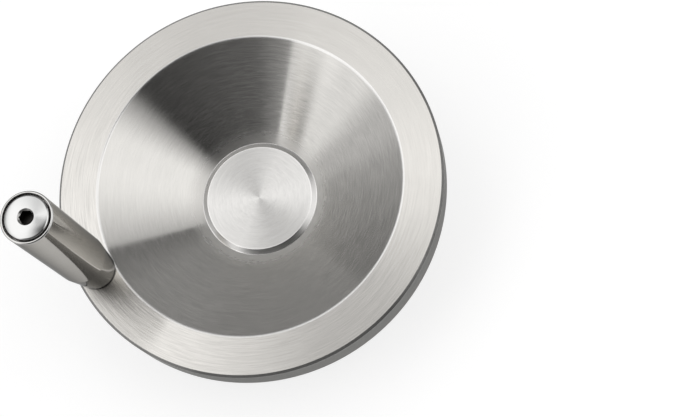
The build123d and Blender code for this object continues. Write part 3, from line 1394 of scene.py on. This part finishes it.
CAP = Tier(0.0, 0.0, 2.2, (
    Panel(60.0, 140.0, 1.2, 32.0, 30.0),
    Panel(-170.0, -88.0, 1.45, 60.0, 50.0),
))
ROOF = Tier(6.0, 1.0, 2.2, (
    Panel(60.0, 140.0, 0.2, 32.0, 30.0),
    Panel(-170.0, -88.0, 1.4, 60.0, 50.0),
))
WALLS = Tier(15.0, 1.5, 0.36, (
    Panel(-72.0, -50.0, 0.26, 2.0, 15.0),
    Panel(-27.0, 2.0, 0.85, 27.0, 8.0),
    Panel(-16.0, 2.0, 1.0, 6.0, 8.0),
    Panel(2.0, 44.5, 1.68, 9.0, 1.0),
    Panel(24.0, 39.0, 2.05, 6.0, 6.0),
    Panel(44.5, 112.0, 0.17, 1.0, 4.0),
    Panel(44.5, 52.0, 0.5, 1.0, 10.0),
    Panel(92.0, 112.0, 0.02, 45.0, 4.0),
    Panel(119.0, 176.0, 2.05, 12.0, 1.0),
    Panel(166.0, 176.0, 0.75, 22.0, 1.0),
    Panel(190.0, 228.0, 0.44, 12.0, 15.0),
    Panel(176.0, 184.0, 0.2, 1.0, 12.0),
))
SKIRT = Tier(43.0, 5.0, 0.15, (
    Panel(-85.0, 10.0, 1.4, 18.0, 22.0),
    Panel(40.0, 115.0, 0.4, 10.0, 20.0),
))


@dataclass(frozen=True)
class Studio:
    """The pale floor, the light tent and the camera.

    The camera's position and the floor's gap under the hub are in mm, its furthest distance and
    the floor's size in m.
    """

    lens: float = 79.5
    position: Triple = (-34.8, 275.35, 791.04)
    right: Triple = (-0.8667, 0.4759, -0.1494)
    up: Triple = (-0.4987, -0.8245, 0.2673)
    furthest: float = 20.0
    floor_size: float = 16.0
    floor_gap: float = 0.1
    floor_colour: float = 0.42
    floor_lift: float = 0.7
    floor_mirrored: float = 0.55
    tent_level: float = 0.8
    tiers: tuple[Tier, ...] = (CAP, ROOF, WALLS, SKIRT)

    def make(self) -> None:
        """Set up everything round the object."""
        self.make_camera()
        self.make_floor()
        self.make_tent()

    def make_camera(self) -> None:
        """Place the camera: its right, its up and its back, square to both, are its three axes."""
        data = bpy.data.cameras.new("camera")
        data.lens = self.lens
        data.clip_end = self.furthest
        camera = bpy.data.objects.new("camera", data)
        bpy.context.scene.collection.objects.link(camera)
        right = Vector(self.right).normalized()
        back = right.cross(Vector(self.up)).normalized()
        turn = Matrix((right, back.cross(right), back)).transposed()
        camera.matrix_world = Matrix.Translation(Vector(self.position) * MM) @ turn.to_4x4()
        bpy.context.scene.camera = camera

    def make_floor(self) -> None:
        """Lay the floor under the hub: a pale diffuse sheet, lifted to white for what looks at it.

        Formula: the camera sees the lift in full, and what the metal mirrors has a share of it.
        """
        mesh = bpy.data.meshes.new("floor")
        half, level = self.floor_size / 2, -self.floor_gap * MM
        corners = [(-half, -half, level), (half, -half, level), (half, half, level), (-half, half, level)]
        mesh.from_pydata(corners, [], [(0, 1, 2, 3)])
        floor = bpy.data.objects.new("floor", mesh)
        bpy.context.scene.collection.objects.link(floor)
        made = bpy.data.materials.new("floor")
        made.use_nodes = True
        graph = Graph(made.node_tree)
        diffuse = graph.add("ShaderNodeBsdfDiffuse", {"Color": (self.floor_colour,) * 3 + (1.0,)})
        rays = graph.add("ShaderNodeLightPath").outputs
        mirrored = graph.maths("MULTIPLY", rays["Is Glossy Ray"], self.floor_mirrored)
        seen = graph.maths("MAXIMUM", rays["Is Camera Ray"], mirrored)
        strength = graph.maths("MULTIPLY", seen, self.floor_lift)
        glow = graph.add("ShaderNodeEmission", {"Strength": strength})
        both = {0: diffuse.outputs[0], 1: glow.outputs[0]}
        graph.finish("ShaderNodeAddShader", both, "ShaderNodeOutputMaterial")
        mesh.materials.append(made)

    def make_tent(self) -> None:
        """Hang the tent: a world of soft wedges that meet over the wheel.

        Formula: the direction halfway between a direction of the sky and the camera is the slope
        of metal that mirrors it to the camera. Wedges that are even in that direction's angle
        round the wheel's axis give the turned cone straight bands from its hub to its rim. The
        tiers follow each other as it tilts away from the axis. The camera itself sees white.
        """
        world = bpy.data.worlds.new("tent")
        bpy.context.scene.world = world
        world.use_nodes = True
        graph = Graph(world.node_tree)
        sky = graph.add("ShaderNodeTexCoord").outputs["Generated"]
        to_camera = tuple(Vector(self.position).normalized())
        halfway = graph.vector("NORMALIZE", graph.vector("ADD", sky, to_camera))
        flat = graph.vector("MULTIPLY", halfway, (1.0, 1.0, 0.0))
        round_about = graph.vector("NORMALIZE", flat)
        tilt = graph.maths("ARCCOSINE", graph.dot(halfway, Z_AXIS))
        level = self.tiers[0].spread(graph, round_about)
        for tier in self.tiers[1:]:
            level = graph.mix(tier.passed(graph, tilt), level, tier.spread(graph, round_about))
        rays = graph.add("ShaderNodeLightPath").outputs
        seen = graph.mix(rays["Is Camera Ray"], graph.maths("MULTIPLY", level, self.tent_level), 1.0)
        white = (1.0, 1.0, 1.0, 1.0)
        graph.finish("ShaderNodeBackground", {"Color": white, "Strength": seen}, "ShaderNodeOutputWorld")


# ---- the whole object ------------------------------------------------------------------------


def make_finishes(wheel: Wheel) -> Finishes:
    """Make the material of every region, each round the axis of the piece that it is on."""
    tables = (
        (WHEEL_FINISHES, Place()),
        (HANDLE_FINISHES, wheel.handle_place),
        (SCREW_FINISHES, wheel.screw_place),
    )
    return {region: finish.material(place) for table, place in tables for region, finish in table.items()}


def main() -> None:
    """Build every piece, the floor, the light and the camera, and log each piece's number of faces."""
    logging.basicConfig(level=logging.INFO)
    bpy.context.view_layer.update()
    wheel = Wheel()
    handle, screw = wheel.handle_place, wheel.screw_place
    finishes = make_finishes(wheel)
    for part in (wheel, GripSleeve(handle), HandleAxle(handle), HubSetScrew(screw)):
        piece = part.make(finishes)
        log.info("%s: %d faces", piece.name, len(piece.data.polygons))
    Studio().make()
    bpy.context.scene.view_settings.view_transform = "Standard"


if __name__ == "__main__":
    main()
